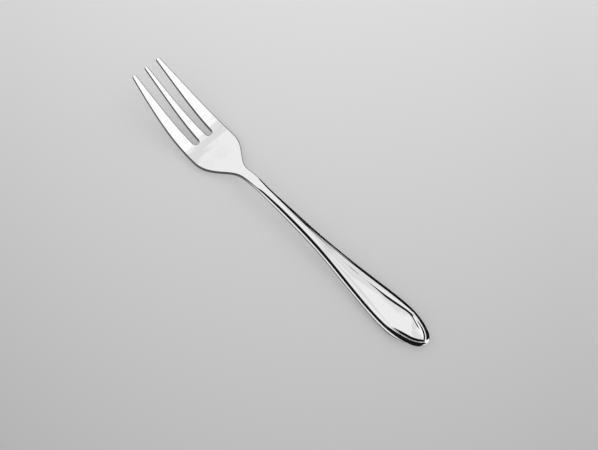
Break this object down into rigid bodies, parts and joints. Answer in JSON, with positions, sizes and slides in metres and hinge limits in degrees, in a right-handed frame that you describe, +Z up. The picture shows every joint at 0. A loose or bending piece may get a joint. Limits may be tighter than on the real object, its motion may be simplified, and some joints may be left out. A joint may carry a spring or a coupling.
{
  "type": "pastry fork",
  "caption": "Slim dessert fork with upswept tapering tines, a shallow head, a narrow arched neck and a teardrop handle with a rim, groove and crowned panel.",
  "frame": {"origin": "on the table under the middle of the fork's overall box, with the fork resting on the back of its head and on the end of its handle", "axes": "+X along the fork from the tines to the handle's point, +Y across it to the left of that direction, +Z up, out of the hollow side of the head"},
  "size_m": [0.15, 0.019, 0.0142],
  "materials": {
    "polished_steel": "mirror-polished stainless steel, unplated, with fine polishing marks"
  },
  "bodies": {
    "root": {"fork": "polished_steel"}
  },
  "joints": []
}
